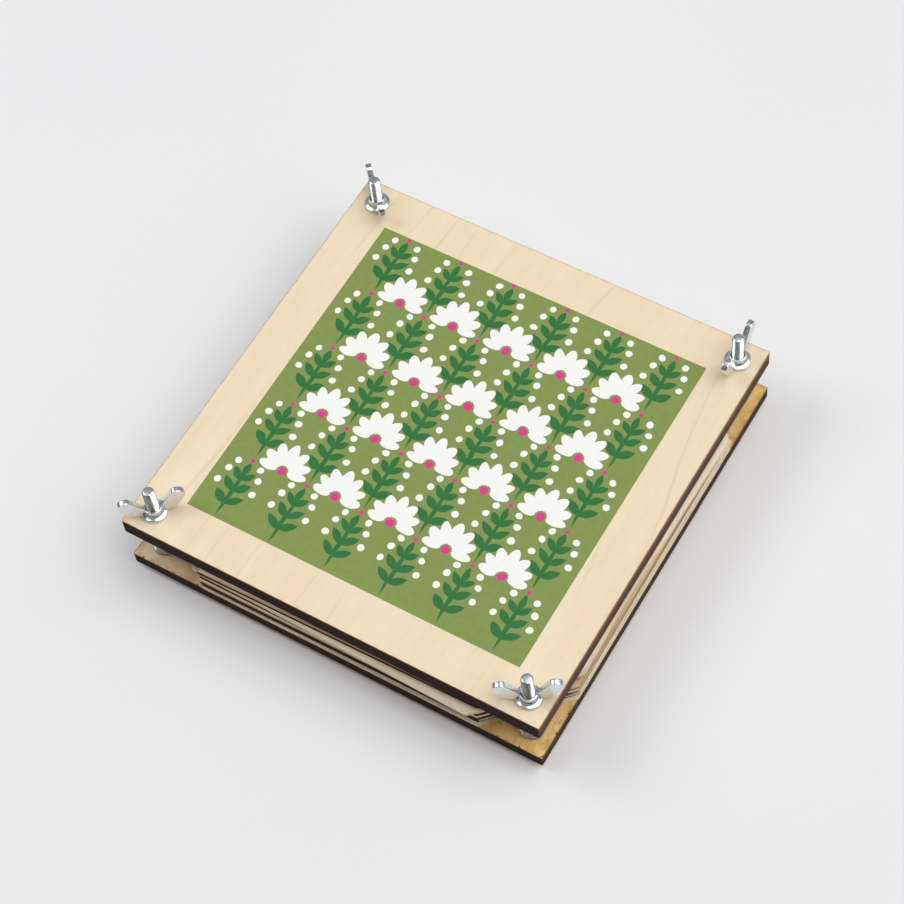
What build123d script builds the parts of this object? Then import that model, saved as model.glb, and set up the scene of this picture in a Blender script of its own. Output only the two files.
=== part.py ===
from build123d import *
import os
from math import cos, radians, sin, sqrt

os.makedirs("parts", exist_ok=True)

# A flower press: two square plywood boards drawn together by four bolts with wing nuts,
# over a stack of blotting papers and corrugated cards with cut corners.
# Millimetres. +Z is up and the origin lies on the table, below the middle of the boards.
# The front is the -Y side and the right is the +X side.

# Plywood boards
board_side = 150.0
board_corner_radius = 0.6
top_board_thickness = 6.5
bottom_board_thickness = 4.8

# Bolts, one near each corner, with their heads below the bottom board
bolt_inset = 7.7
bolt_diameter = 4.0
bolt_stand_out = 12.9
bolt_end_chamfer = 0.5
head_diameter = 8.0
head_height = 3.1
head_edge_radius = 1.4
recess_span = 4.4
recess_width = 1.0
recess_depth = 1.8

# Flange nuts that hold the bolts upright on the bottom board
lock_flange_diameter = 8.2
lock_flange_height = 0.8
lock_skirt_height = 1.0
lock_flats = 7.0
lock_nut_height = 4.2

# Wing nuts, each a bell-shaped hub with two swept wings
wing_base_diameter = 8.6
wing_base_height = 1.0
wing_base_slope_rise = 0.35
wing_hub_diameter = 5.9
wing_hub_height = 3.7
wing_hub_root_radius = 0.5
wing_span = 22.0
wing_height = 10.2
wing_thickness = 2.0
wing_edge_bevel = 0.4
wing_shoulder_radius = 1.2
# One wing's outline: lower root, belly, heel, brow, shoulder and upper root
wing_outline_shares = [(0.25, 0.10), (0.735, 0.31), (0.993, 0.73), (0.95, 0.915), (0.60, 0.96), (0.24, 0.36)]
# The angle in degrees that each nut's wings stand at, from the right-hand direction
wing_turns = {"front_left": 44.6, "front_right": 31.3, "back_right": 91.3, "back_left": 135.0}

# Sheets, a margin smaller than the boards all round and cut off at the corners to clear the bolts
sheet_margin = 2.0
paper_thickness = 0.66
card_thickness = 1.5
liner_thickness = 0.2
medium_thickness = 0.2
flute_pitch = 3.0
tunnel_width_share = 0.66
# The angle in degrees from a sheet's front-to-back direction to its flutes, which run from left to right
flute_turn = -90.0
# How far the worst sheet lies off the middle, and the angle in degrees that it is turned by
sheet_play = 3.0
sheet_turn = 1.6
# The stack from the bottom up: each sheet's kind, its shift to the right and to the back, and its turn
stack_shares = [
    ("paper", 0.70, -0.70, 0.03),
    ("paper", 0.63, -0.67, -0.06),
    ("card", 0.50, -0.46, 0.21),
    ("paper", 0.78, -0.46, 0.21),
    ("paper", 0.75, -0.48, 0.19),
    ("card", 0.60, -0.67, 0.20),
    ("paper", 0.63, -0.63, 0.16),
    ("paper", 0.69, -0.67, 0.16),
    ("paper", 0.71, -0.73, 0.10),
    ("card", 0.77, -0.68, 0.06),
    ("paper", 0.63, -0.98, -0.87),
    ("paper", 0.60, -1.00, -0.91),
    ("card", 0.33, -0.50, 0.53),
    ("paper", 0.55, -0.30, 0.92),
    ("paper", 0.52, -0.27, 0.94),
    ("paper", 0.48, -0.23, 1.00),
    ("paper", 0.44, -0.20, 0.97),
]

# Clearances: from a flange nut's rim to a centred sheet, then on the radius of each hole
sheet_clearance = 3.9
slide_clearance = 0.3
board_hole_clearance = 0.1
thread_clearance = 0.05
# How far a cut runs past a face
cut_overrun = 1.0

# Heights and places that follow
sheet_thickness = {"paper": paper_thickness, "card": card_thickness}
bolt_radius = bolt_diameter / 2
bolt_reach = board_side / 2 - bolt_inset
stack_base = head_height + bottom_board_thickness
stack_height = sum(sheet_thickness[row[0]] for row in stack_shares)
top_board_base = stack_base + stack_height
wing_nut_base = top_board_base + top_board_thickness
bolt_end = wing_nut_base + bolt_stand_out
sheet_side = board_side - 2 * sheet_margin
sheet_corner_cut = sheet_side - 2 * bolt_reach + sqrt(2) * (lock_flange_diameter / 2 + sheet_clearance)
flute_count = int(sheet_side / flute_pitch)
corners = {
    "front_left": (-bolt_reach, -bolt_reach),
    "front_right": (bolt_reach, -bolt_reach),
    "back_right": (bolt_reach, bolt_reach),
    "back_left": (-bolt_reach, bolt_reach),
}


def turned_plane(x, y, z, turn):
    """A level plane whose own x axis is turned by an angle in degrees about the vertical."""
    return Plane(origin=(x, y, z), x_dir=(cos(radians(turn)), sin(radians(turn)), 0), z_dir=(0, 0, 1))


def upright_plane(level):
    """The vertical plane through a level plane's x axis, with its own y axis pointing up."""
    return Plane(origin=level.origin, x_dir=level.x_dir, z_dir=-level.y_dir)


with BuildPart() as bottom_board:
    with BuildSketch(turned_plane(0, 0, head_height, 0)):
        RectangleRounded(board_side, board_side, board_corner_radius)
        with GridLocations(2 * bolt_reach, 2 * bolt_reach, 2, 2):
            Circle(bolt_radius + board_hole_clearance, mode=Mode.SUBTRACT)
    extrude(amount=bottom_board_thickness)
bottom_board.part.label = "bottom_board"
export_step(bottom_board.part, "parts/bottom_board.step")

with BuildPart() as top_board:
    with BuildSketch(turned_plane(0, 0, top_board_base, 0)):
        RectangleRounded(board_side, board_side, board_corner_radius)
        with GridLocations(2 * bolt_reach, 2 * bolt_reach, 2, 2):
            Circle(bolt_radius + slide_clearance, mode=Mode.SUBTRACT)
    extrude(amount=top_board_thickness)
top_board.part.label = "top_board"
export_step(top_board.part, "parts/top_board.step")

for corner, (x, y) in corners.items():
    with BuildPart() as bolt:
        with BuildSketch(upright_plane(turned_plane(x, y, 0, 0))):
            with BuildLine():
                Polyline(
                    (0, 0),
                    (head_diameter / 2, 0),
                    (head_diameter / 2, head_height),
                    (bolt_radius, head_height),
                    (bolt_radius, bolt_end - bolt_end_chamfer),
                    (bolt_radius - bolt_end_chamfer, bolt_end),
                    (0, bolt_end),
                    close=True,
                )
            make_face()
        revolve(axis=Axis((x, y, 0), (0, 0, 1)))
        fillet(bolt.edges().group_by(Axis.Z)[0], radius=head_edge_radius)
        with BuildSketch(turned_plane(x, y, -cut_overrun, wing_turns[corner])):
            Rectangle(recess_span, recess_width)
            Rectangle(recess_width, recess_span)
        extrude(amount=recess_depth + cut_overrun, mode=Mode.SUBTRACT)
    bolt.part.label = f"bolt_{corner}"
    export_step(bolt.part, f"parts/bolt_{corner}.step")

for corner, (x, y) in corners.items():
    with BuildPart() as lock_nut:
        with BuildSketch(turned_plane(x, y, stack_base, 0)):
            RegularPolygon(lock_flats / 2, 6, major_radius=False)
        extrude(amount=lock_nut_height)
        with BuildSketch(upright_plane(turned_plane(x, y, stack_base, 0))):
            with BuildLine():
                Polyline(
                    (0, 0),
                    (lock_flange_diameter / 2, 0),
                    (lock_flange_diameter / 2, lock_flange_height),
                    (lock_flats / 2, lock_flange_height + lock_skirt_height),
                    (0, lock_flange_height + lock_skirt_height),
                    close=True,
                )
            make_face()
        revolve(axis=Axis((x, y, 0), (0, 0, 1)))
        with BuildSketch(turned_plane(x, y, stack_base - cut_overrun, 0)):
            Circle(bolt_radius + thread_clearance)
        extrude(amount=lock_nut_height + 2 * cut_overrun, mode=Mode.SUBTRACT)
    lock_nut.part.label = f"lock_nut_{corner}"
    export_step(lock_nut.part, f"parts/lock_nut_{corner}.step")

wing_points = [(along * wing_span / 2, up * wing_height) for along, up in wing_outline_shares]
lower_root, belly, heel, brow, shoulder, upper_root = wing_points
base_rim = (wing_base_diameter / 2, wing_base_height)
hub_root = (wing_hub_diameter / 2, wing_base_height + wing_base_slope_rise)
hub_rim = (wing_hub_diameter / 2, wing_hub_height)
for corner, (x, y) in corners.items():
    nut_plane = turned_plane(x, y, wing_nut_base, wing_turns[corner])
    with BuildPart() as wing_nut:
        with BuildSketch(upright_plane(nut_plane)) as wing:
            with BuildLine():
                lower_edge = ThreePointArc(lower_root, belly, heel)
                outer_edge = TangentArc(heel, brow, tangent=lower_edge % 1)
                TangentArc(brow, shoulder, tangent=outer_edge % 1)
                Polyline(shoulder, upper_root, lower_root)
            make_face()
            fillet(wing.vertices().sort_by_distance(shoulder)[0], radius=wing_shoulder_radius)
        extrude(amount=wing_thickness / 2, both=True)
        chamfer(wing_nut.faces().sort_by(SortBy.AREA)[-2:].edges(), length=wing_edge_bevel)
        mirror(about=Plane(origin=nut_plane.origin, z_dir=nut_plane.x_dir))
        with BuildSketch(upright_plane(nut_plane)) as hub:
            with BuildLine():
                Polyline(
                    (0, 0),
                    (wing_base_diameter / 2, 0),
                    base_rim,
                    hub_root,
                    hub_rim,
                    (0, wing_hub_height),
                    close=True,
                )
            make_face()
            fillet(hub.vertices().sort_by_distance(hub_root)[0], radius=wing_hub_root_radius)
        revolve(axis=Axis((x, y, 0), (0, 0, 1)))
        with BuildSketch(turned_plane(x, y, wing_nut_base - cut_overrun, 0)):
            Circle(bolt_radius + thread_clearance)
        extrude(amount=wing_height + 2 * cut_overrun, mode=Mode.SUBTRACT)
    wing_nut.part.label = f"wing_nut_{corner}"
    export_step(wing_nut.part, f"parts/wing_nut_{corner}.step")

# The flutes are rows of arched tunnels, those below the wavy layer half a pitch from those above it
tunnel_half = tunnel_width_share * flute_pitch / 2
tunnel_rise = card_thickness - 2 * liner_thickness - medium_thickness
level = stack_base
counts = {"paper": 0, "card": 0}
for kind, right_share, back_share, turn_share in stack_shares:
    counts[kind] += 1
    middle_x, middle_y = sheet_play * right_share, sheet_play * back_share
    sheet_plane = turned_plane(middle_x, middle_y, level, sheet_turn * turn_share)
    if kind == "paper":
        sheet_name = f"blotting_paper_{counts[kind]:02d}"
        with BuildPart() as sheet:
            with BuildSketch(sheet_plane) as outline:
                Rectangle(sheet_side, sheet_side)
                chamfer(outline.vertices(), length=sheet_corner_cut)
            extrude(amount=paper_thickness)
    else:
        sheet_name = f"corrugated_card_{counts[kind]}"
        flute_plane = turned_plane(middle_x, middle_y, level, sheet_turn * turn_share + flute_turn)
        with BuildPart() as sheet:
            with BuildSketch(upright_plane(flute_plane)):
                with Locations((0, card_thickness / 2)):
                    Rectangle(sheet_side, card_thickness)
                with BuildSketch(mode=Mode.PRIVATE) as arch:
                    with BuildLine():
                        ThreePointArc((-tunnel_half, 0), (0, tunnel_rise), (tunnel_half, 0))
                        Line((tunnel_half, 0), (-tunnel_half, 0))
                    make_face()
                with Locations((0, liner_thickness)):
                    with GridLocations(flute_pitch, 0, flute_count, 1):
                        add(arch.sketch, mode=Mode.SUBTRACT)
                with Locations((0, card_thickness - liner_thickness)):
                    with GridLocations(flute_pitch, 0, flute_count - 1, 1):
                        add(arch.sketch, rotation=180, mode=Mode.SUBTRACT)
            extrude(amount=sheet_side / 2, both=True)
            with BuildSketch(sheet_plane) as outline:
                Rectangle(sheet_side, sheet_side)
                chamfer(outline.vertices(), length=sheet_corner_cut)
            extrude(amount=card_thickness, mode=Mode.INTERSECT)
    sheet.part.label = sheet_name
    export_step(sheet.part, f"parts/{sheet_name}.step")
    level += sheet_thickness[kind]
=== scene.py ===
from math import atan2, cos, pi, radians, sin

import bmesh
import bpy
from mathutils import Matrix, Vector, noise


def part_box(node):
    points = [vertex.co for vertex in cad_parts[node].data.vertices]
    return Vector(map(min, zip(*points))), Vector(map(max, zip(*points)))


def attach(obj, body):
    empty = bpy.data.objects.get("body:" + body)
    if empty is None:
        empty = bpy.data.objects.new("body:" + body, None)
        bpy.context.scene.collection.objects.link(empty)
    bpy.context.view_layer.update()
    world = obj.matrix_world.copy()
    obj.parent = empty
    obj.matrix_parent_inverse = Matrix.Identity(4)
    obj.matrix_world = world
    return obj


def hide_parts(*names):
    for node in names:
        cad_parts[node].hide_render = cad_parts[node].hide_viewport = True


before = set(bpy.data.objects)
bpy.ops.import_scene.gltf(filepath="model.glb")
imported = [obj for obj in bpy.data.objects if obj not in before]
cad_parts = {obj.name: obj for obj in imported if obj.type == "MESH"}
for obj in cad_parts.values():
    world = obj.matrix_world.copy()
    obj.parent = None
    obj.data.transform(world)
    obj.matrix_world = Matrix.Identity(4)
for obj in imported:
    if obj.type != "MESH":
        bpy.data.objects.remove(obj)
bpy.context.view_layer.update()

mm = 0.001
corners = sorted(name[len("bolt_"):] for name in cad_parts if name.startswith("bolt_"))
papers = sorted(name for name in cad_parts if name.startswith("blotting_paper_"))
cards = sorted(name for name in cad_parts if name.startswith("corrugated_card_"))


def srgb(red, green, blue):
    # a colour as a paint program names it, made linear
    parts = [value / 255 for value in (red, green, blue)]
    return tuple(p / 12.92 if p <= 0.04045 else ((p + 0.055) / 1.055) ** 2.4 for p in parts) + (1.0,)


class Wire:
    # a node socket that can stand in a plain sum
    def __init__(self, tree, socket=None):
        self.tree = tree
        self.socket = socket

    def node(self, kind, settings=None, sockets=None, out=0):
        made = self.tree.nodes.new(kind)
        for name, value in (settings or {}).items():
            setattr(made, name, value)
        for key, value in (sockets or {}).items():
            if isinstance(value, Wire):
                self.tree.links.new(value.socket, made.inputs[key])
            else:
                made.inputs[key].default_value = value
        return Wire(self.tree, made.outputs[out] if made.outputs else None)

    def calc(self, operation, *values):
        return self.node("ShaderNodeMath", {"operation": operation}, dict(enumerate(values)))

    def __add__(self, other):
        return self.calc("ADD", self, other)

    def __sub__(self, other):
        return self.calc("SUBTRACT", self, other)

    def __rsub__(self, other):
        return self.calc("SUBTRACT", other, self)

    def __mul__(self, other):
        return self.calc("MULTIPLY", self, other)

    def __truediv__(self, other):
        return self.calc("DIVIDE", self, other)

    def __abs__(self):
        return self.calc("ABSOLUTE", self)

    __radd__ = __add__
    __rmul__ = __mul__

    def outputs(self, count):
        return [Wire(self.tree, self.socket.node.outputs[i]) for i in range(count)]

    def axes(self):
        return self.node("ShaderNodeSeparateXYZ", sockets={0: self}).outputs(3)

    def scaled(self, *factors):
        return self.node("ShaderNodeVectorMath", {"operation": "MULTIPLY"}, {0: self, 1: factors})

    def ease(self, low, high, kind="SMOOTHSTEP"):
        # 0 below low and 1 above high; with low above high it falls instead
        start, end, first, last = (low, high, 0.0, 1.0) if low < high else (high, low, 1.0, 0.0)
        sockets = {0: self, 1: start, 2: end, 3: first, 4: last}
        return self.node("ShaderNodeMapRange", {"interpolation_type": kind}, sockets)

    def noise(self, detail=2.0, roughness=0.5, out=0):
        sockets = {"Vector": self, "Scale": 1.0, "Detail": detail, "Roughness": roughness}
        return self.node("ShaderNodeTexNoise", None, sockets, out)

    def blend(self, first, second, kind="MIX"):
        settings = {"data_type": "RGBA", "blend_type": kind}
        return self.node("ShaderNodeMix", settings, {0: self, 6: first, 7: second}, 2)


def newMaterial(name):
    material = bpy.data.materials.new(name)
    material.use_nodes = True
    material.node_tree.nodes.clear()
    pen = Wire(material.node_tree)
    return material, pen, pen.node("ShaderNodeTexCoord", out=3).scaled(1 / mm, 1 / mm, 1 / mm)


def closeMaterial(pen, sockets, bump=None, depth=0.0):
    if bump:
        height = {"Strength": 1.0, "Distance": depth * mm, "Height": bump}
        sockets = dict(sockets, Normal=pen.node("ShaderNodeBump", None, height))
    shader = pen.node("ShaderNodeBsdfPrincipled", None, sockets)
    pen.node("ShaderNodeOutputMaterial", None, {"Surface": shader})


# Board faces: birch veneer, with a block-printed panel on the upper one
printDesign = {
    "half": 60.0, "columns": 20.0, "rows": 24.0, "wobble": 0.55, "crisp": 0.07,
    "wholeX": 50.3, "wholeY": 48.3,
    "ground": srgb(132, 151, 78), "green": srgb(10, 114, 50),
    "white": srgb(250, 250, 247), "pink": srgb(226, 44, 146),
    # how far out, angle from upright, length, width
    "petals": [(2.0, 0, 8.6, 3.9), (2.0, 29, 8.2, 3.8), (2.0, 58, 7.4, 3.6), (2.0, 87, 6.4, 3.3)],
    # height on the stem, angle from upright, length, width
    "leaves": [(-6.5, 52, 6.6, 2.9), (-1.5, 50, 6.2, 2.7), (3.0, 46, 5.4, 2.4)],
    "stem": (-1.8, 19.0, 1.5), "topLeaf": (7.2, 5.8, 2.3),
    # height on the stem, distance out
    "berries": [(0.3, 6.4), (5.2, 5.6), (9.0, 4.2)], "berry": 2.3, "heart": 2.9, "bud": 1.5,
}


def ovalGap(at, middle, turn, length, width, pointed=False):
    # below zero inside an oval or a pointed leaf, and about a distance outside it
    place = {"Vector": at, "Location": (*middle, 0), "Rotation": (0, 0, radians(turn)),
             "Scale": (length / 2, width / 2, 1)}
    local = at.node("ShaderNodeMapping", {"vector_type": "TEXTURE"}, place)
    if pointed:
        along, across, _ = local.axes()
        return (abs(across) + along * along - 1) * (width / 2)
    flat = local.scaled(1, 1, 0)
    return (flat.node("ShaderNodeVectorMath", {"operation": "LENGTH"}, {0: flat}, 1) - 1) * (width / 2)


def nearest(gaps):
    least = gaps[0]
    for gap in gaps[1:]:
        least = least.calc("MINIMUM", least, gap)
    return least


def blockPrint(point, base):
    d = printDesign
    wander = point.scaled(0.16, 0.16, 0).noise(1.0, out=1)
    offset = point.node("ShaderNodeVectorMath", {"operation": "SUBTRACT"}, {0: wander, 1: (0.5, 0.5, 0.5)})
    moved = {0: offset.scaled(2 * d["wobble"], 2 * d["wobble"], 0), 1: point}
    x, y, _ = point.node("ShaderNodeVectorMath", {"operation": "ADD"}, moved).axes()

    def repeat(dx, dy):
        # one motif's own axes, folded left on right
        across = abs(x.calc("WRAP", x - dx, d["columns"] / 2, -d["columns"] / 2))
        up = y.calc("WRAP", y - dy, d["rows"] / 2, -d["rows"] / 2)
        return x.node("ShaderNodeCombineXYZ", None, {0: across, 1: up})

    def outward(root, angle, length):
        reach = root + length / 2
        return reach * sin(radians(angle)), reach * cos(radians(angle))

    frond = repeat(d["columns"] / 2, 0)
    fan = repeat(0, d["rows"] / 2)
    height, length, width = d["stem"]
    greens = [ovalGap(frond, (0, height), 90, length, width, True)]
    height, length, width = d["topLeaf"]
    greens.append(ovalGap(frond, (0, height), 90, length, width, True))
    for height, angle, length, width in d["leaves"]:
        right, up = outward(0, angle, length)
        greens.append(ovalGap(frond, (right, up + height), 90 - angle, length, width, True))
    whites = [ovalGap(frond, (out, up), 0, d["berry"], d["berry"]) for up, out in d["berries"]]
    petals = [ovalGap(fan, outward(root, angle, length), 90 - angle, length, width)
              for root, angle, length, width in d["petals"]]
    pinks = [ovalGap(fan, (0, 0), 0, d["heart"], d["heart"])]
    buds = [ovalGap(frond, (0, 11.0), 0, d["bud"], d["bud"])]
    px, py, _ = point.axes()
    inside = px.calc("MAXIMUM", abs(px), abs(py)).ease(d["half"] + d["crisp"], d["half"] - d["crisp"])
    # fans that the panel's border would cut are left out whole
    whole = (abs(x) - d["wholeX"]).ease(d["crisp"], 0.0) * (abs(y) - d["wholeY"]).ease(d["crisp"], 0.0)

    def ink(gaps, keep=1.0):
        return nearest(gaps).ease(d["crisp"], -d["crisp"]) * keep

    colour = ink(greens).blend(d["ground"], d["green"])
    colour = ink(whites).blend(colour, d["white"])
    colour = ink(petals, whole).blend(colour, d["white"])
    colour = ink(pinks, whole).blend(colour, d["pink"])
    colour = ink(buds).blend(colour, d["pink"])
    mottle = point.scaled(0.5, 0.5, 0).noise(4.0, 0.6).ease(0.2, 0.8)
    colour = (mottle * 0.12).blend(colour, (0.1, 0.12, 0.05, 1), "OVERLAY")
    return inside, (inside * 0.97).blend(base, colour)


def birchFace(name, look, printed=False):
    material, pen, point = newMaterial(name)
    x, y, _ = point.axes()
    drift = point.scaled(0.03, 0.008, 0.03).noise(2.0)
    broad = point.scaled(0.12, 0.012, 0.1).noise(3.0, 0.6).ease(0.3, 0.7)
    fibre = point.scaled(2.4, 0.06, 0.4).noise(3.0, 0.6)
    fleck = point.scaled(5.0, 0.22, 1).noise(1.0).ease(0.66, 0.76)
    # growth rings cut at a slant make tall arches along the grain
    far = look["archAt"]
    arch = pen.calc("SQRT", (x - far[0]) * (x - far[0]) + (y - far[1]) * (y - far[1]) * look["archSlim"])
    rings = pen.calc("SINE", (arch + drift * 26) * (2 * pi / look["archStep"]))
    colour = broad.blend(look["pale"], look["warm"])
    faint = point.scaled(0.05, 0.015, 0.05).noise(2.0).ease(0.36, 0.6)
    colour = (rings.ease(look["archThin"], 1.0) * faint * look["archDepth"]).blend(colour, look["late"])
    streak = point.scaled(0.45, 0.012, 0.3).noise(2.0).ease(0.62, 0.74)
    colour = (streak * look["streakDepth"]).blend(colour, look["late"])
    colour = (fibre.ease(0.45, 0.75) * look["fibreDepth"]).blend(colour, look["late"])
    colour = (fleck * look["fleckDepth"]).blend(colour, look["late"])
    blotch = point.scaled(0.11, 0.07, 0.1).noise(4.0, 0.65)
    colour = (blotch.ease(0.48, 0.72) * look["blotchDepth"]).blend(colour, look["blotch"])
    grime = point.scaled(0.75, 0.6, 0.7).noise(5.0, 0.75).ease(0.5, 0.72)
    front = y.ease(*look["front"])
    colour = (grime * (front * 0.8 + 0.2) * look["grimeDepth"]).blend(colour, look["grime"])
    # painted light: paler towards the left side, where light falls from the left
    colour = (x.ease(*look["fade"]) * look["fadeDepth"]).blend(colour, look["faded"])
    # heat marks from the cutting beam along the edges
    toEdge = look["half"] - x.calc("MAXIMUM", abs(x), abs(y))
    singe = toEdge.ease(look["singe"], 0.0) * point.scaled(0.35, 0.35, 0.2).noise(2.0).ease(0.25, 0.7)
    colour = (singe * look["singeDepth"]).blend(colour, look["singed"])
    # burnt nicks a few millimetres apart where the beam was held, and a few larger ones
    stray = point.scaled(0.07, 0.07, 0.07).noise(1.0) * look["nickStray"]
    along = x.calc("MINIMUM", abs(x), abs(y)) + stray
    beat = abs(x.calc("WRAP", along, look["nickStep"] / 2, look["nickStep"] / -2))
    scorch = point.scaled(0.4, 0.4, 0.3).noise(3.0, 0.7)
    nick = beat * look["nickNarrow"] + toEdge * look["nickShort"] - scorch * look["nickRagged"]
    nick = nick.ease(0.1, -0.3) * (front * 0.5 + 0.5)
    smear = (scorch - toEdge * 0.13).ease(0.56, 0.64)
    burnt = x.calc("MAXIMUM", nick, smear)
    colour = (burnt * look["nickDepth"]).blend(colour, look["burnt"])
    roughness = fibre * 0.12 + 0.5
    if printed:
        inked, colour = blockPrint(point, colour)
        roughness = roughness - inked * 0.08
    closeMaterial(pen, {"Base Color": colour, "Roughness": roughness, "Specular IOR Level": 0.25},
                  fibre + fleck * -0.6, 0.05)
    return material


# Board edges: charred by the cutting beam, with the plies showing faintly
def charredEdge(name, low, high, look):
    material, pen, point = newMaterial(name)
    x, _, z = point.axes()
    height = (z - low) / (high - low)
    # the right-hand edge is painted paler, as painted light from the right; all edges are toasted towards
    # their rim, the right one over more of its height
    outer, inner = look["rightBand"]
    right = x.ease(look["half"] - outer, look["half"] - inner)
    layer = pen.calc("SINE", height * (look["plies"] * pi))
    ply = (layer * layer).ease(0.55, 1.0)
    cut = point.scaled(1.7, 1.7, 0.05).noise(3.0, 0.65)
    soot = point.scaled(0.09, 0.09, 0.35).noise(3.0, 0.6)
    # the right-hand edge takes the lit colours: painted light from the right
    char = right.blend(look["char"], look["paleChar"])
    brown = right.blend(look["brown"], look["paleBrown"])
    colour = (ply * 0.55 + cut.ease(0.4, 0.75) * 0.35).blend(char, brown)
    colour = (soot.ease(0.4, 0.7) * 0.5).blend(colour, char)
    rim = height.ease(look["rim"], 1.0) * (1 - right) + (height + soot * 0.3).ease(*look["paleRim"]) * right
    colour = (rim * 0.85).blend(colour, right.blend(look["toast"], look["paleToast"]))
    closeMaterial(pen, {"Base Color": colour, "Roughness": cut * 0.2 + 0.68, "Specular IOR Level": 0.12},
                  cut + ply * 0.5, 0.08)
    return material


steelLook = {"blue": srgb(224, 233, 240), "grey": srgb(234, 236, 236), "grain": srgb(176, 184, 190),
             "worn": srgb(92, 96, 100), "polish": 0.16}


def zincSteel(name, dullAndShade):
    d = steelLook
    material, pen, point = newMaterial(name)
    cloud = point.scaled(0.35, 0.35, 0.35).noise(3.0, 0.6)
    grain = point.scaled(3.5, 3.5, 3.5).noise(3.0, 0.6)
    colour = cloud.ease(0.3, 0.7).blend(d["blue"], d["grey"])
    colour = (grain.ease(0.6, 0.8) * 0.2).blend(colour, d["grain"])
    # the worn colour gives random wear; dull darkens it further, as a duller zinc and as painted shade
    colour = (cloud * 0.08 + dullAndShade).blend(colour, d["worn"])
    roughness = grain * 0.08 + cloud * 0.06 + d["polish"] + dullAndShade * 0.4
    closeMaterial(pen, {"Base Color": colour, "Metallic": 1.0, "Roughness": roughness}, grain, 0.004)
    return material


paperLook = {
    "sheet": (srgb(248, 238, 214), srgb(242, 229, 200)),
    # the rim colours are darker: painted shade and dust between the sheets
    "rim": (srgb(226, 208, 174), srgb(212, 192, 156)),
    "shade": srgb(226, 220, 210),
}


def blottingPaper(name, pale, dark):
    material, pen, point = newMaterial(name)
    fibre = point.scaled(1.3, 1.3, 1.3).noise(5.0, 0.7)
    layers = point.scaled(0.2, 0.2, 6.0).noise(2.0, 0.6)
    patch = point.scaled(0.05, 0.05, 1.1).noise(2.0)
    colour = patch.ease(0.3, 0.7).blend(pale, dark)
    settings = {"data_type": "RGBA", "blend_type": "MULTIPLY"}
    shadow = pen.node("ShaderNodeMix", settings, {0: 1.0, 6: colour, 7: paperLook["shade"]}, 2)
    colour = (fibre.ease(0.5, 0.8) * 0.3).blend(colour, shadow)
    colour = (layers.ease(0.55, 0.75) * 0.4).blend(colour, shadow)
    closeMaterial(pen, {"Base Color": colour, "Roughness": fibre * 0.1 + 0.82, "Specular IOR Level": 0.2},
                  fibre, 0.05)
    return material


def kraftCard(name, pale, dark, ends=None):
    material, pen, point = newMaterial(name)
    fibre = point.scaled(0.5, 2.2, 2.0).noise(4.0, 0.7)
    cloud = point.scaled(0.08, 0.08, 0.3).noise(3.0, 0.6)
    colour = cloud.ease(0.3, 0.7).blend(pale, dark)
    colour = (fibre.ease(0.5, 0.8) * 0.45).blend(colour, dark)
    if ends:
        # painted light: paler near the open flute ends on the left and right, where light reaches in
        x, _, _ = point.axes()
        colour = abs(x - cardShape["middle"]).ease(*cardShape["openEnd"]).blend(colour, ends)
    closeMaterial(pen, {"Base Color": colour, "Roughness": fibre * 0.12 + 0.72, "Specular IOR Level": 0.25},
                  fibre, 0.04)
    return material


def plainMesh(name, builder):
    mesh = bpy.data.meshes.new(name)
    builder.to_mesh(mesh)
    builder.free()
    return mesh


def addPiece(node, body, mesh, materials, sharp=35):
    # each piece stands for the solid whose name it carries
    words = node.split("_")
    piece = bpy.data.objects.new(words[0] + "".join(word.capitalize() for word in words[1:]), mesh)
    bpy.context.scene.collection.objects.link(piece)
    for material in materials:
        mesh.materials.append(material)
    mesh.polygons.foreach_set("use_smooth", [True] * len(mesh.polygons))
    mesh.set_sharp_from_angle(angle=radians(sharp))
    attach(piece, body)
    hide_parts(node)
    return piece


def bridge(builder, rings, index=0, closed=False):
    # faces between loops of points that have the same count
    count = len(rings[0])
    pairs = list(zip(rings, rings[1:])) + ([(rings[-1], rings[0])] if closed else [])
    for lower, upper in pairs:
        for i in range(count):
            j = (i + 1) % count
            builder.faces.new((lower[i], lower[j], upper[j], upper[i])).material_index = index


def loopEdges(builder, ring):
    return [builder.edges.get((a, b)) for a, b in zip(ring, ring[1:] + ring[:1])]


def capLoops(builder, rings, up, index=0):
    edges = [edge for ring in rings for edge in loopEdges(builder, ring)]
    made = bmesh.ops.triangle_fill(builder, use_beauty=True, edges=edges, normal=(0, 0, up))
    for face in made["geom"]:
        if isinstance(face, bmesh.types.BMFace):
            face.material_index = index
            face.normal_update()
            if face.normal.z * up < 0:
                face.normal_flip()


def boltCentre(corner):
    low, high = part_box(f"bolt_{corner}")
    return (low[0] + high[0]) / 2, (low[1] + high[1]) / 2


# Boards: square plates with eased arrises and four bolt holes
boardShape = {"cornerRadius": 0.6, "cornerSteps": 8, "arris": 0.18, "holeSteps": 40, "holeArris": 0.3}
boardHoles = {"top_board": 2.3, "bottom_board": 2.1}


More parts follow.
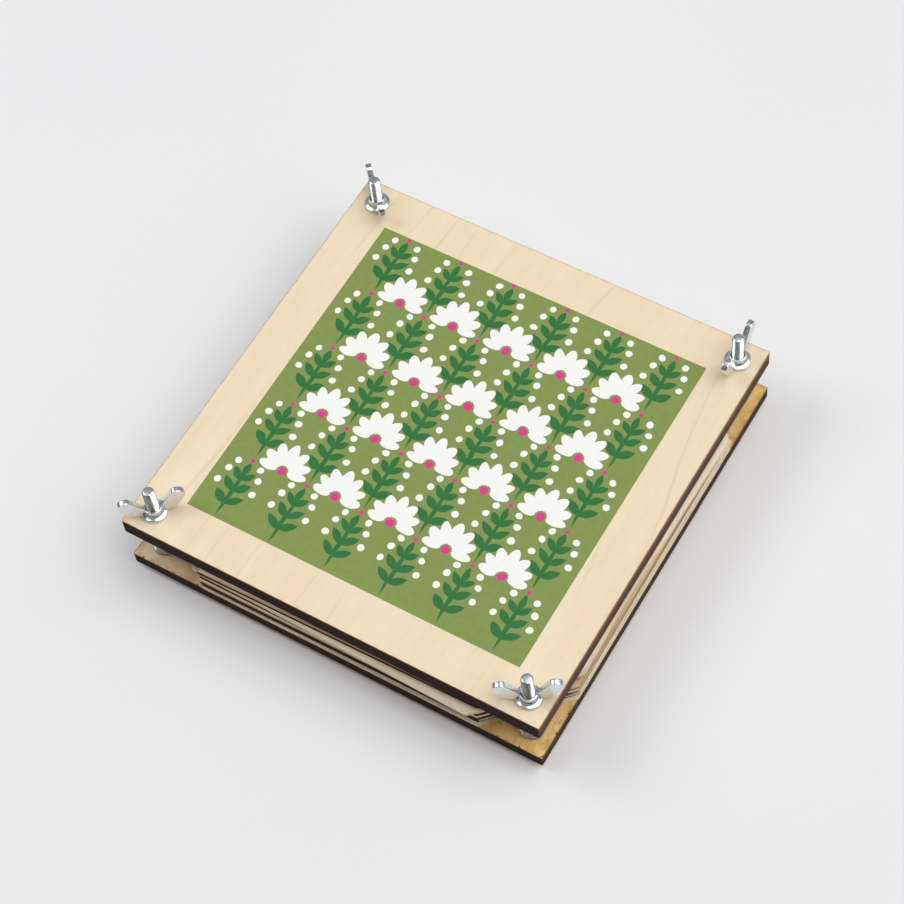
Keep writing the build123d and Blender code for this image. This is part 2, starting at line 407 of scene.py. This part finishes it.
def boardMesh(node):
    d = boardShape
    low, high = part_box(node)
    half, bottom, top = high[0] / mm, low[2] / mm, high[2] / mm
    builder = bmesh.new()

    def outline(inset, z):
        radius = d["cornerRadius"] - inset
        reach = half - d["cornerRadius"]
        points = []
        for quarter, (sx, sy) in enumerate(((1, 1), (-1, 1), (-1, -1), (1, -1))):
            for step in range(d["cornerSteps"] + 1):
                angle = (quarter + step / d["cornerSteps"]) * pi / 2
                points.append((sx * reach + radius * cos(angle), sy * reach + radius * sin(angle), z))
        return [builder.verts.new(Vector(point) * mm) for point in points]

    def hole(centre, radius, z):
        turns = [2 * pi * step / d["holeSteps"] for step in range(d["holeSteps"])]
        reach = radius * mm
        return [builder.verts.new((centre[0] + reach * cos(t), centre[1] - reach * sin(t), z * mm))
                for t in turns]

    def levels(arris):
        return (arris, bottom), (0, bottom + arris), (0, top - arris), (arris, top)

    outer = [outline(inset, z) for inset, z in levels(d["arris"])]
    bridge(builder, outer, 1)
    lowest, highest = [outer[0]], [outer[-1]]
    for corner in corners:
        centre = boltCentre(corner)
        rings = [hole(centre, boardHoles[node] + flare, z) for flare, z in levels(d["holeArris"])]
        bridge(builder, rings, 1)
        lowest.append(rings[0])
        highest.append(rings[-1])
    capLoops(builder, lowest, -1)
    capLoops(builder, highest, 1)
    return plainMesh(node, builder)


topLook = {
    "half": 75.0, "pale": srgb(243, 227, 197), "warm": srgb(240, 222, 188), "late": srgb(216, 180, 130),
    "archAt": (34, -190), "archSlim": 0.012, "archStep": 11.0, "archThin": 0.95, "archDepth": 0.24,
    "fibreDepth": 0.11, "streakDepth": 0.07, "fleckDepth": 0.3,
    "blotch": srgb(246, 217, 182), "blotchDepth": 0.45,
    # grime and nicks lie mostly in front; the left side is painted paler, as painted light from the left
    "grime": srgb(160, 104, 44), "grimeDepth": 0.0, "front": (30, -45),
    "fade": (-30, -72), "faded": srgb(240, 226, 200), "fadeDepth": 0.0,
    "singe": 0.8, "singeDepth": 0.6, "singed": srgb(214, 160, 100),
    "nickDepth": 0.0, "nickStep": 7.0, "nickStray": 9.0, "nickNarrow": 1.7, "nickShort": 1.6,
    "nickRagged": 2.4, "burnt": srgb(50, 34, 24),
}
bottomLook = dict(
    topLook, pale=srgb(250, 220, 156), warm=srgb(242, 203, 130), late=srgb(196, 142, 70),
    archAt=(-20, 160), archStep=9.0, fibreDepth=0.25, streakDepth=0.25, fleckDepth=0.12,
    # the bottom board's left side gets painted light
    blotch=srgb(224, 174, 96), blotchDepth=0.7, grimeDepth=0.65, fadeDepth=0.75,
    singe=3.0, singed=srgb(178, 120, 56), nickDepth=0.92,
)
topEdge = {
    "half": 75.0, "plies": 5, "char": srgb(27, 20, 20), "brown": srgb(68, 52, 47), "toast": srgb(150, 92, 50),
    # the lit colours are painted light on the right-hand edge
    "rim": 0.94, "rightBand": (0.6, 0.3), "paleChar": srgb(80, 65, 59), "paleBrown": srgb(108, 85, 71),
    "paleToast": srgb(178, 128, 86), "paleRim": (0.8, 1.14),
}
# the bottom board's right-hand edge gets painted light too
bottomEdge = dict(topEdge, plies=3, paleChar=srgb(58, 47, 44), paleBrown=srgb(82, 66, 58), paleRim=(1.0, 1.3))
boards = {"top_board": ("top_board", topLook, topEdge), "bottom_board": ("base", bottomLook, bottomEdge)}

for node, (body, look, edgeLook) in boards.items():
    low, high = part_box(node)
    face = birchFace(f"birch_{node}", look, printed=node == "top_board")
    edge = charredEdge(f"charred_{node}", low[2] / mm, high[2] / mm, edgeLook)
    addPiece(node, body, boardMesh(node), [face, edge])
print("boards made")


# Sheets: square with cut corners, read from the solids so that they lie as those do
def sheetOutline(node):
    low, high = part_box(node)
    points = {}
    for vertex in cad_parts[node].data.vertices:
        if high[2] - vertex.co.z < 0.01 * mm:
            points[tuple(round(value, 7) for value in vertex.co.xy)] = vertex.co.xy.copy()
    middle = Vector(((low[0] + high[0]) / 2, (low[1] + high[1]) / 2))
    ranked = sorted(points.values(), key=lambda p: -(p - middle).length)[:8]
    ranked.sort(key=lambda p: atan2(p.y - middle.y, p.x - middle.x))
    return ranked, low[2], high[2]


def sheetPlace(outline):
    # the middle, the turn, the side and the corner cut of an eight-cornered sheet
    middle = sum(outline, Vector((0, 0))) / len(outline)
    sides = sorted(((b - a) for a, b in zip(outline, outline[1:] + outline[:1])), key=lambda e: -e.length)
    long = [edge for edge in sides[:4] if abs(edge.y) > abs(edge.x) and edge.y > 0][0]
    turn = atan2(-long.x, long.y)
    across = max((point - middle).dot(Vector((cos(turn), sin(turn)))) for point in outline)
    return middle, turn, 2 * across, across - long.length / 2


paperShape = {"step": 2.5, "round": 0.16, "ripple": 0.16, "fray": 0.09, "seed": 11.0, "margin": 4.0,
              "swell": 0.03}


def paperMesh(node, order):
    d = paperShape
    outline, bottom, top = sheetOutline(node)
    middle = sum(outline, Vector((0, 0))) / len(outline)
    builder = bmesh.new()
    points = []
    for start, end in zip(outline, outline[1:] + outline[:1]):
        steps = max(2, round((end - start).length / (d["step"] * mm)))
        points += [start.lerp(end, step / steps) for step in range(steps)]

    def ring(inset, z, slump):
        made = []
        for point in points:
            spot = Vector((point.x / mm * 0.2, point.y / mm * 0.2, order * d["seed"]))
            shrink = inset + d["fray"] * (0.5 + 0.5 * noise.noise(spot * 4))
            inner = point + (middle - point).normalized() * shrink * mm
            drop = slump * d["ripple"] * (0.5 + 0.5 * noise.noise(spot))
            made.append(builder.verts.new((inner.x, inner.y, z - drop * mm)))
        return made

    soft = d["round"] * mm
    rings = [ring(d["round"], bottom, -0.5), ring(d["swell"], bottom + soft, -0.5),
             ring(0.0, (bottom + top) / 2, 0.2), ring(d["swell"], top - soft, 1.0),
             ring(d["round"], top, 1.0), ring(d["margin"], top, 0.0)]
    rings.insert(0, ring(d["margin"], bottom, 0.0))
    # the rounded rims are painted darker, as painted shade and some dust, and read as lines between the
    # sheets
    for first, last, index in ((0, 2, 0), (1, 3, 1), (2, 5, 0), (4, 6, 1), (5, 7, 0)):
        bridge(builder, rings[first:last], index)
    capLoops(builder, rings[:1], -1)
    capLoops(builder, rings[-1:], 1)
    return plainMesh(node, builder)


paper = blottingPaper("blottingPaper", *paperLook["sheet"])
# rim faces take the darker copy: painted shade between the sheets
paperRimShade = blottingPaper("blottingRim", *paperLook["rim"])
for order, node in enumerate(papers):
    addPiece(node, "base", paperMesh(node, order), [paper, paperRimShade], sharp=60)
print("blotting papers made:", len(papers))


def nodeTree(name, inputs):
    # a geometry tree with named inputs, and a wire for each of them
    tree = bpy.data.node_groups.new(name, "GeometryNodeTree")
    tree.interface.new_socket("Geometry", in_out="OUTPUT", socket_type="NodeSocketGeometry")
    names = {}
    for label, kind in inputs.items():
        socket = tree.interface.new_socket(label, in_out="INPUT", socket_type=f"NodeSocket{kind}")
        names[label] = socket.identifier
    pen = Wire(tree)
    entry = pen.node("NodeGroupInput")
    wires = {label: Wire(tree, entry.socket.node.outputs[label]) for label in inputs}
    return tree, pen, wires, names


def growMesh(name, tree, names, values):
    # run a geometry tree once and keep its result as a plain mesh
    seed = bpy.data.objects.new(name, bpy.data.meshes.new(name))
    bpy.context.scene.collection.objects.link(seed)
    modifier = seed.modifiers.new("tree", "NODES")
    modifier.node_group = tree
    for label, value in values.items():
        modifier[names[label]] = value
    grown = bpy.data.meshes.new_from_object(seed.evaluated_get(bpy.context.evaluated_depsgraph_get()))
    seed.modifiers.remove(modifier)
    bpy.data.objects.remove(seed)
    return grown


def joined(pen, parts):
    made = pen.node("GeometryNodeJoinGeometry")
    for part in reversed(parts):
        pen.tree.links.new(part.socket, made.socket.node.inputs[0])
    return made


def endTree(pen, geometry):
    pen.node("NodeGroupOutput", None, {0: geometry})


# Corrugated cards: two flat liners with a wavy layer between them
cardShape = {"liner": 0.2, "pitch": 3.0, "stepsPerFlute": 10, "skin": 0.16, "fluteTurn": -90.0,
             "middle": 1.6, "openEnd": (71.0, 72.6)}
linerPaper = kraftCard("kraftLiner", srgb(222, 195, 160), srgb(206, 177, 138))
# the flute paper is painted dark as shade inside the flutes, and paler at the open ends as painted light
shadedFlutePaper = kraftCard("kraftFlute", srgb(74, 55, 38), srgb(50, 37, 26), srgb(186, 160, 124))
# the cut faces are browner and painted darker as shade; paler at the left and right ends as painted light
shadedCutPaper = kraftCard("kraftCutEdge", srgb(120, 92, 62), srgb(90, 67, 44), srgb(196, 172, 136))


def cardTree():
    inputs = {"Side": "Float", "Corner Cut": "Float", "Thickness": "Float", "Liner": "Float", "Skin": "Float",
              "Pitch": "Float", "Columns": "Int", "Centre": "Vector", "Turn": "Vector"}
    tree, pen, wires, names = nodeTree("corrugatedCard", inputs)
    half = wires["Side"] * 0.5

    def layer(thickness, level, swing, material):
        size = pen.node("ShaderNodeCombineXYZ", None, {0: wires["Side"], 1: wires["Side"], 2: thickness})
        counts = {"Size": size, "Vertices X": wires["Columns"], "Vertices Y": 2, "Vertices Z": 2}
        slab = pen.node("GeometryNodeMeshCube", None, counts)
        x, y, z = pen.node("GeometryNodeInputPosition").axes()
        reach = pen.calc("MINIMUM", half, wires["Side"] - wires["Corner Cut"] - abs(x))
        wave = pen.calc("SINE", x / wires["Pitch"] * (2 * pi)) * swing
        spot = pen.node("ShaderNodeCombineXYZ", None, {0: x, 1: y / half * reach, 2: z + level + wave})
        moved = pen.node("GeometryNodeSetPosition", None, {"Geometry": slab, "Position": spot})
        place = {"Geometry": moved, "Translation": wires["Centre"], "Rotation": wires["Turn"]}
        turned = pen.node("GeometryNodeTransform", None, place)
        solid = pen.node("GeometryNodeRealizeInstances", None, {0: turned})
        faced = pen.node("GeometryNodeSetMaterial", None, {"Geometry": solid, "Material": material})
        # the cut ends of each layer are browner than its faces, and painted darker still as shade
        _, _, lean = pen.node("GeometryNodeInputNormal").axes()
        ends = {"Geometry": faced, "Selection": pen.calc("LESS_THAN", abs(lean), 0.5), "Material": shadedCutPaper}
        return pen.node("GeometryNodeSetMaterial", None, ends)

    rise = wires["Thickness"] * 0.5 - wires["Liner"] * 0.5
    swing = wires["Thickness"] * 0.5 - wires["Liner"] - wires["Skin"] * 0.5
    # the lower liner and the wavy layer take the shaded flute paper: painted shade inside the flutes
    layers = [layer(wires["Liner"], rise, 0.0, linerPaper), layer(wires["Liner"], rise * -1, 0.0, shadedFlutePaper),
              layer(wires["Skin"], 0.0, swing, shadedFlutePaper)]
    endTree(pen, joined(pen, layers))
    return tree, names


tree, names = cardTree()
for node in cards:
    outline, bottom, top = sheetOutline(node)
    middle, turn, side, cut = sheetPlace(outline)
    columns = int(side / (cardShape["pitch"] * mm)) * cardShape["stepsPerFlute"] + 1
    heading = turn + radians(cardShape["fluteTurn"])
    values = {"Side": side, "Corner Cut": cut, "Thickness": top - bottom, "Liner": cardShape["liner"] * mm,
              "Skin": cardShape["skin"] * mm, "Pitch": cardShape["pitch"] * mm, "Columns": columns,
              "Centre": (*middle, (bottom + top) / 2), "Turn": (0.0, 0.0, heading)}
    mesh = growMesh(node, tree, names, values)
    addPiece(node, "base", mesh, [], sharp=50)
    print(node, "side", round(side / mm, 2), "cut", round(cut / mm, 2), "faces", len(mesh.polygons))
print("corrugated cards made:", len(cards))


# Turned metal: a closed profile swung round an upright axis
def turnedRings(builder, centre, base, profile, steps):
    rings = []
    for radius, height in profile:
        ring = []
        for step in range(steps):
            angle = 2 * pi * step / steps
            reach = (radius(angle) if callable(radius) else radius) * mm
            ring.append(builder.verts.new((centre[0] + reach * cos(angle), centre[1] + reach * sin(angle),
                                           base + height * mm)))
        rings.append(ring)
    return rings


steel = zincSteel("zincSteel", 0.0)
# the flange nuts' steel is darker: painted shade under the top board, and a duller zinc
dullSteel = zincSteel("dullSteel", 0.42)
boltShape = {"crest": 1.99, "root": 1.6, "pitch": 0.7, "around": 40, "rowsPerTurn": 12, "endFlat": 1.3,
             "endChamfer": 0.5, "headSteps": 64, "recess": (4.4, 1.0, 1.8), "sink": 0.3}
# pan head: distance from the axis and height, from the underside up
panHead = [(2.5, 0.0), (2.6, 0.0), (3.05, 0.1), (3.5, 0.4), (3.84, 0.86), (3.98, 1.4), (4.0, 1.6),
           (4.0, 2.85), (3.93, 3.0), (3.75, 3.1), (1.6, 3.1)]


def boltTree():
    inputs = {"Centre": "Vector", "Foot": "Float", "End": "Float", "Crest": "Float", "Root": "Float",
              "Pitch": "Float", "Around": "Int", "Rows": "Int", "Rows Per Turn": "Int", "End Flat": "Float",
              "End Chamfer": "Float"}
    tree, pen, wires, names = nodeTree("threadedShank", inputs)
    grid = {"Size X": 1.0, "Size Y": 1.0, "Vertices X": wires["Around"] + 1, "Vertices Y": wires["Rows"]}
    cloth = pen.node("GeometryNodeMeshGrid", None, grid)
    x, y, _ = pen.node("GeometryNodeInputPosition").axes()
    turn = x + 0.5
    # each row of points climbs one pitch in a turn, and the rows past either end fold onto it
    row = (y + 0.5) * (wires["Rows"] - 1) / wires["Rows Per Turn"]
    climb = wires["Foot"] + (row + turn - 1) * wires["Pitch"]
    z = pen.calc("MINIMUM", pen.calc("MAXIMUM", climb, wires["Foot"]), wires["End"])
    phase = pen.calc("FRACT", row + 0.001)
    ridge = abs(phase * 2 - 1).ease(0.1, 0.82, "LINEAR")
    thread = wires["Root"] + (wires["Crest"] - wires["Root"]) * ridge
    toEnd = (wires["End"] - z) / wires["End Chamfer"]
    taper = wires["End Flat"] + (wires["Crest"] - wires["End Flat"]) * pen.calc("SQRT", toEnd)
    radius = pen.calc("MINIMUM", pen.calc("MINIMUM", thread, taper), wires["Root"] + z - wires["Foot"])
    angle = turn * (2 * pi)
    spot = {0: radius * pen.calc("COSINE", angle), 1: radius * pen.calc("SINE", angle), 2: z}
    spot = pen.node("ShaderNodeCombineXYZ", None, spot)
    shank = pen.node("GeometryNodeSetPosition", None, {"Geometry": cloth, "Position": spot})

    def disc(radius, height):
        circle = {"Vertices": wires["Around"], "Radius": radius}
        flat = pen.node("GeometryNodeMeshCircle", {"fill_type": "NGON"}, circle)
        lift = pen.node("ShaderNodeCombineXYZ", None, {2: height})
        return pen.node("GeometryNodeTransform", None, {"Geometry": flat, "Translation": lift})

    foot = pen.node("GeometryNodeFlipFaces", None, {0: disc(wires["Root"], wires["Foot"])})
    whole = joined(pen, [shank, disc(wires["End Flat"], wires["End"]), foot])
    whole = pen.node("GeometryNodeMergeByDistance", None, {"Geometry": whole, "Distance": 0.004 * mm})
    placed = pen.node("GeometryNodeTransform", None, {"Geometry": whole, "Translation": wires["Centre"]})
    solid = pen.node("GeometryNodeRealizeInstances", None, {0: placed})
    endTree(pen, pen.node("GeometryNodeSetMaterial", None, {"Geometry": solid, "Material": steel}))
    return tree, names


def crossRecess(centre, turn):
    # two crossed bars below the head, to be cut out of it
    span, width, depth = (value * mm for value in boltShape["recess"])
    size = Matrix.Diagonal((span, width, 2 * depth, 1))
    bars = bmesh.new()
    for quarter in (0, pi / 2):
        place = Matrix.Translation((*centre, 0)) @ Matrix.Rotation(turn + quarter, 4, "Z")
        bmesh.ops.create_cube(bars, size=1.0, matrix=place @ size)
    return bars


def headMesh(centre, turn):
    builder = bmesh.new()
    rings = turnedRings(builder, centre, 0.0, panHead, boltShape["headSteps"])
    bridge(builder, rings)
    capLoops(builder, rings[:1], -1)
    capLoops(builder, rings[-1:], 1)
    head = bpy.data.objects.new("head", plainMesh("head", builder))
    bars = bpy.data.objects.new("bars", plainMesh("bars", crossRecess(centre, turn)))
    for part in (head, bars):
        bpy.context.scene.collection.objects.link(part)
    cut = head.modifiers.new("recess", "BOOLEAN")
    cut.object = bars
    cut.operation = "DIFFERENCE"
    cut.solver = "EXACT"
    cut.use_self = True
    mesh = bpy.data.meshes.new_from_object(head.evaluated_get(bpy.context.evaluated_depsgraph_get()))
    head.modifiers.remove(cut)
    for part in (head, bars):
        bpy.data.objects.remove(part)
    return mesh


def wingAngle(corner):
    # the way a wing nut's wings point, from the spread of its solid's points
    centre = Vector(boltCentre(corner))
    spread = [vertex.co.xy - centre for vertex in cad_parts[f"wing_nut_{corner}"].data.vertices]
    return 0.5 * atan2(2 * sum(p.x * p.y for p in spread), sum(p.x ** 2 - p.y ** 2 for p in spread))


tree, names = boltTree()
for corner in corners:
    d = boltShape
    node = f"bolt_{corner}"
    centre = boltCentre(corner)
    foot = (panHead[-1][1] - d["sink"]) * mm
    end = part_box(node)[1][2]
    rows = int(((end - foot) / (d["pitch"] * mm) + 2) * d["rowsPerTurn"]) + 1
    values = {"Centre": (*centre, 0.0), "Foot": foot, "End": end,
              "Crest": d["crest"] * mm, "Root": d["root"] * mm, "Pitch": d["pitch"] * mm,
              "Around": d["around"], "Rows": rows, "Rows Per Turn": d["rowsPerTurn"],
              "End Flat": d["endFlat"] * mm, "End Chamfer": d["endChamfer"] * mm}
    builder = bmesh.new()
    builder.from_mesh(growMesh(node, tree, names, values))
    builder.from_mesh(headMesh(centre, wingAngle(corner)))
    addPiece(node, "base", plainMesh(node, builder), [steel], sharp=30)
print("bolts made:", len(corners))


# Flange nuts on the bottom board
lockShape = {"flats": 7.0, "flange": 4.1, "bore": 2.05, "steps": 96}


def lockMesh(node, centre):
    d = lockShape
    low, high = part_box(node)
    tall = (high[2] - low[2]) / mm

    def hexagon(limit):
        return lambda angle: min(limit, d["flats"] / 2 / cos((angle + pi / 6) % (pi / 3) - pi / 6))

    corner = d["flats"] / 2 / cos(pi / 6)
    profile = [(d["bore"] + 0.3, 0.0), (d["flange"] - 0.2, 0.0), (d["flange"], 0.2), (d["flange"], 0.65),
               (d["flange"] - 0.15, 0.8), (corner - 0.15, 1.2), (hexagon(corner), 1.35),
               (hexagon(corner), 1.75), (hexagon(corner), tall - 0.45),
               (hexagon(corner - 0.25), tall - 0.2), (hexagon(d["flats"] / 2), tall),
               (d["bore"] + 0.35, tall), (d["bore"], tall - 0.35), (d["bore"], 0.3)]
    builder = bmesh.new()
    bridge(builder, turnedRings(builder, centre, low[2], profile, d["steps"]), closed=True)
    return plainMesh(node, builder)


for corner in corners:
    node = f"lock_nut_{corner}"
    # their darker steel is painted shade from the top board
    addPiece(node, "base", lockMesh(node, boltCentre(corner)), [dullSteel], sharp=28)
print("flange nuts made:", len(corners))


# Wing nuts: a bell hub and two flat wings with rounded edges, grown into one skin
wingShape = {
    "bore": 2.12, "boreFlare": 0.35, "boreEase": 0.4, "hubSteps": 96, "thickness": 2.0,
    "edgeRound": 0.24, "edgeSteps": 4, "curveSteps": 10, "voxel": 0.115, "smooth": 3,
    # one wing's outline as shares of half the span and of the height, and whether it bends smoothly there
    "outline": [(0.20, 0.10, False), (0.52, 0.145, True), (0.74, 0.32, True), (0.88, 0.50, True),
                (0.964, 0.70, True), (0.971, 0.82, True), (0.926, 0.91, True), (0.78, 0.985, True),
                (0.64, 0.965, True), (0.575, 0.89, True), (0.40, 0.635, False), (0.20, 0.345, False)],
    # distance from the axis and height, from the rim of the bore down the flank
    "bell": [(4.12, 0.0), (4.28, 0.15), (4.3, 0.4), (4.27, 0.78), (4.1, 0.98), (3.6, 1.12), (3.16, 1.29),
             (3.02, 1.56), (2.98, 2.1), (2.95, 3.0), (2.94, 3.4), (2.86, 3.62), (2.68, 3.7)],
}


def wingMesh(span, tall):
    d = wingShape
    half = span / 2
    outline = bpy.data.curves.new("wing", "CURVE")
    outline.dimensions = "2D"
    outline.fill_mode = "BOTH"
    outline.extrude = (d["thickness"] / 2 - d["edgeRound"]) * mm
    outline.bevel_depth = d["edgeRound"] * mm
    outline.bevel_resolution = d["edgeSteps"]
    outline.offset = -d["edgeRound"] * mm
    path = outline.splines.new("BEZIER")
    path.bezier_points.add(len(d["outline"]) - 1)
    for point, (out, up, smooth) in zip(path.bezier_points, d["outline"]):
        point.co = (out * half * mm, up * tall * mm, 0)
        point.handle_left_type = point.handle_right_type = "AUTO" if smooth else "VECTOR"
    path.use_cyclic_u = True
    path.resolution_u = d["curveSteps"]
    shape = bpy.data.objects.new("wing", outline)
    bpy.context.scene.collection.objects.link(shape)
    wing = bpy.data.meshes.new_from_object(shape.evaluated_get(bpy.context.evaluated_depsgraph_get()))
    bpy.data.objects.remove(shape)
    builder = bmesh.new()
    for turn in (0, pi):
        other = wing.copy()
        other.transform(Matrix.Rotation(turn, 4, "Z") @ Matrix.Rotation(pi / 2, 4, "X"))
        builder.from_mesh(other)
    profile = [(d["bore"] + d["boreFlare"], 0.0)] + d["bell"]
    hubTop = d["bell"][-1][1]
    profile += [(d["bore"] + d["boreFlare"], hubTop), (d["bore"], hubTop - d["boreEase"]),
                (d["bore"], d["boreEase"])]
    bridge(builder, turnedRings(builder, (0, 0), 0.0, profile, d["hubSteps"]), closed=True)
    bmesh.ops.remove_doubles(builder, verts=builder.verts, dist=0.001 * mm)
    return plainMesh("wingParts", builder)


def skinned(mesh):
    d = wingShape
    shape = bpy.data.objects.new("wingSkin", mesh)
    bpy.context.scene.collection.objects.link(shape)
    remesh = shape.modifiers.new("skin", "REMESH")
    remesh.mode = "VOXEL"
    remesh.voxel_size = d["voxel"] * mm
    relax = shape.modifiers.new("relax", "SMOOTH")
    relax.factor = 0.5
    relax.iterations = d["smooth"]
    skin = bpy.data.meshes.new_from_object(shape.evaluated_get(bpy.context.evaluated_depsgraph_get()))
    shape.modifiers.clear()
    bpy.data.objects.remove(shape)
    return skin


nutPoints = [vertex.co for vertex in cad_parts[f"wing_nut_{corners[0]}"].data.vertices]
nutCentre = Vector(boltCentre(corners[0]))
nutSpan = 2 * max((point.xy - nutCentre).length for point in nutPoints) / mm
nutLow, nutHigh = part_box(f"wing_nut_{corners[0]}")
nutSkin = skinned(wingMesh(nutSpan, (nutHigh[2] - nutLow[2]) / mm))
for corner in corners:
    node = f"wing_nut_{corner}"
    mesh = nutSkin.copy()
    mesh.name = node
    place = Matrix.Translation((*boltCentre(corner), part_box(node)[0][2]))
    mesh.transform(place @ Matrix.Rotation(wingAngle(corner), 4, "Z"))
    addPiece(node, node, mesh, [steel], sharp=180)
print("wing nuts made:", len(corners), "faces each:", len(nutSkin.polygons))


# Floor, light and camera
stageSet = {
    "floor": 3.0, "paint": srgb(239, 239, 240), "patch": srgb(237, 237, 239),
    # the room's own glow, weaker in front and stronger on the right
    "skyLow": 0.16, "skyHigh": 0.3, "frontShare": 0.6, "rightBoost": 1.1,
    "skyRise": (-0.1, 0.9), "frontBand": (-0.7, 0.2), "rightBand": (0.0, 0.9),
    # the dark side of the room, behind the viewer
    "viewer": (0.607, -0.795), "viewerWide": (0.3, 0.5), "viewerReach": (0.26, 0.42), "viewerDim": 0.9,
    # each lamp's share of a plain level of light, its direction, distance and size
    "lamps": {
        "overhead": (0.7, (0.42, 0.17, 1.0), 2.2, 2.2),
        "leftSide": (0.22, (-1.0, -0.3, 1.33), 1.5, 0.75),
    },
}


def paleFloor():
    material, pen, point = newMaterial("paleFloor")
    cloud = point.scaled(0.004, 0.004, 0).noise(2.0)
    colour = cloud.ease(0.2, 0.8).blend(stageSet["paint"], stageSet["patch"])
    closeMaterial(pen, {"Base Color": colour, "Roughness": cloud * 0.1 + 0.75, "Specular IOR Level": 0.1})
    return material


builder = bmesh.new()
bmesh.ops.create_grid(builder, x_segments=2, y_segments=2, size=stageSet["floor"])
floor = bpy.data.objects.new("floor", plainMesh("floor", builder))
floor.data.materials.append(paleFloor())
bpy.context.scene.collection.objects.link(floor)

world = bpy.data.worlds.new("room")
bpy.context.scene.world = world
world.use_nodes = True
world.node_tree.nodes.clear()
pen = Wire(world.node_tree)
x, y, up = pen.node("ShaderNodeTexCoord").axes()
glow = up.ease(*stageSet["skyRise"]) * (stageSet["skyHigh"] - stageSet["skyLow"]) + stageSet["skyLow"]
glow = glow * (y.ease(*stageSet["frontBand"]) * (1 - stageSet["frontShare"]) + stageSet["frontShare"])
glow = glow * (x.ease(*stageSet["rightBand"]) * stageSet["rightBoost"] + 1)
toX, toY = stageSet["viewer"]
aside = abs(x * toY - y * toX).ease(*reversed(stageSet["viewerWide"]))
shade = aside * (x * toX + y * toY).ease(*stageSet["viewerReach"]) * stageSet["viewerDim"]
sky = pen.node("ShaderNodeBackground", None, {"Color": (1, 1, 1, 1), "Strength": glow * (1 - shade)})
pen.node("ShaderNodeOutputWorld", None, {"Surface": sky})


def addLamp(name, share, toward, far, size):
    # a matt white floor would come out at this share of white
    direction = Vector(toward).normalized()
    lamp = bpy.data.lights.new(name, "AREA")
    lamp.shape = "SQUARE"
    lamp.size = size
    lamp.energy = share * (pi * far) ** 2 / direction.z
    made = bpy.data.objects.new(name, lamp)
    facing = direction.to_track_quat("Z", "Y").to_matrix().to_4x4()
    made.matrix_world = Matrix.Translation(direction * far) @ facing
    bpy.context.scene.collection.objects.link(made)


for name, values in stageSet["lamps"].items():
    addLamp(name, *values)

cameraSet = {"turn": 37.3637, "rise": 58.6066, "roll": -8.0914, "far": 797.6, "aim": (4.03, -4.74),
             "focal": 2539.4, "frame": 904.0, "sensor": 36.0}


def addCamera():
    d = cameraSet
    turn, rise, roll = radians(d["turn"]), radians(d["rise"]), radians(d["roll"])
    back = Vector((sin(turn) * cos(rise), -cos(turn) * cos(rise), sin(rise)))
    right = Vector((cos(turn), sin(turn), 0))
    up = back.cross(right)
    across = cos(roll) * right + sin(roll) * up
    over = cos(roll) * up - sin(roll) * right
    aim = Vector((*d["aim"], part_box("top_board")[1][2] / mm))
    lens = bpy.data.cameras.new("camera")
    lens.sensor_width = d["sensor"]
    lens.lens = d["sensor"] * d["focal"] / d["frame"]
    lens.clip_end = 20
    camera = bpy.data.objects.new("camera", lens)
    camera.matrix_world = Matrix.Translation((aim + back * d["far"]) * mm) @ Matrix(
        (across, over, back)).transposed().to_4x4()
    bpy.context.scene.collection.objects.link(camera)
    bpy.context.scene.camera = camera


addCamera()
bpy.context.scene.view_settings.view_transform = "Standard"
print("floor, light and camera set")
